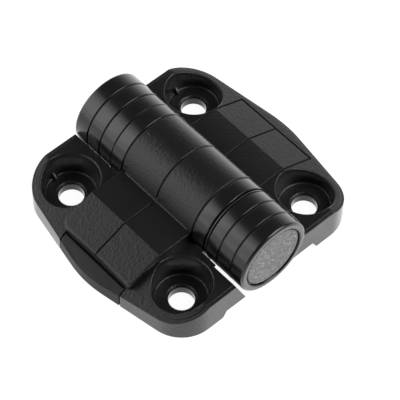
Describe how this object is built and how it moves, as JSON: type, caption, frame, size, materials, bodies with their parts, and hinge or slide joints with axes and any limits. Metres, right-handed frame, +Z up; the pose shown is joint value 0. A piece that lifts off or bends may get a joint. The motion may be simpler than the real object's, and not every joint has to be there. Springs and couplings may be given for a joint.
{
  "type": "friction hinge",
  "caption": "Surface-mount plastic hinge with a thick three-knuckle barrel on a steel pin; friction clips hold its two leaves at any angle.",
  "frame": {"origin": "on the mounting face, under the middle of the barrel", "axes": "+X across the leaves towards the moving leaf, +Y along the barrel to its far end, +Z up from the mounting face"},
  "size_m": [0.069, 0.0628, 0.022],
  "materials": {
    "leaf": "fine texture",
    "insert": "smooth",
    "cap": "fine texture",
    "washer": "smooth",
    "steel": "ground",
    "spring_steel": "tempered"
  },
  "bodies": {
    "fixed_leaf": {"leaf_fixed": "leaf", "edge_insert": "insert", "friction_clip_01": "spring_steel", "friction_clip_02": "spring_steel", "friction_clip_03": "spring_steel", "friction_clip_04": "spring_steel", "friction_clip_05": "spring_steel", "friction_clip_06": "spring_steel", "friction_clip_07": "spring_steel", "friction_clip_08": "spring_steel", "friction_clip_09": "spring_steel", "friction_clip_10": "spring_steel", "friction_clip_11": "spring_steel", "friction_clip_12": "spring_steel", "friction_clip_13": "spring_steel", "friction_clip_14": "spring_steel", "friction_clip_15": "spring_steel", "friction_clip_16": "spring_steel", "friction_clip_17": "spring_steel", "friction_clip_18": "spring_steel"},
    "moving_leaf": {"leaf_moving": "leaf", "pin": "steel", "thrust_washer": "washer", "end_cap_near": "cap", "end_cap_far": "cap"}
  },
  "joints": [
    {"name": "fold", "type": "hinge", "parent": "fixed_leaf", "child": "moving_leaf", "pos_m": [0, 0, 0.0112], "axis": [0, -1, 0], "range_deg": [-90, 180]}
  ]
}
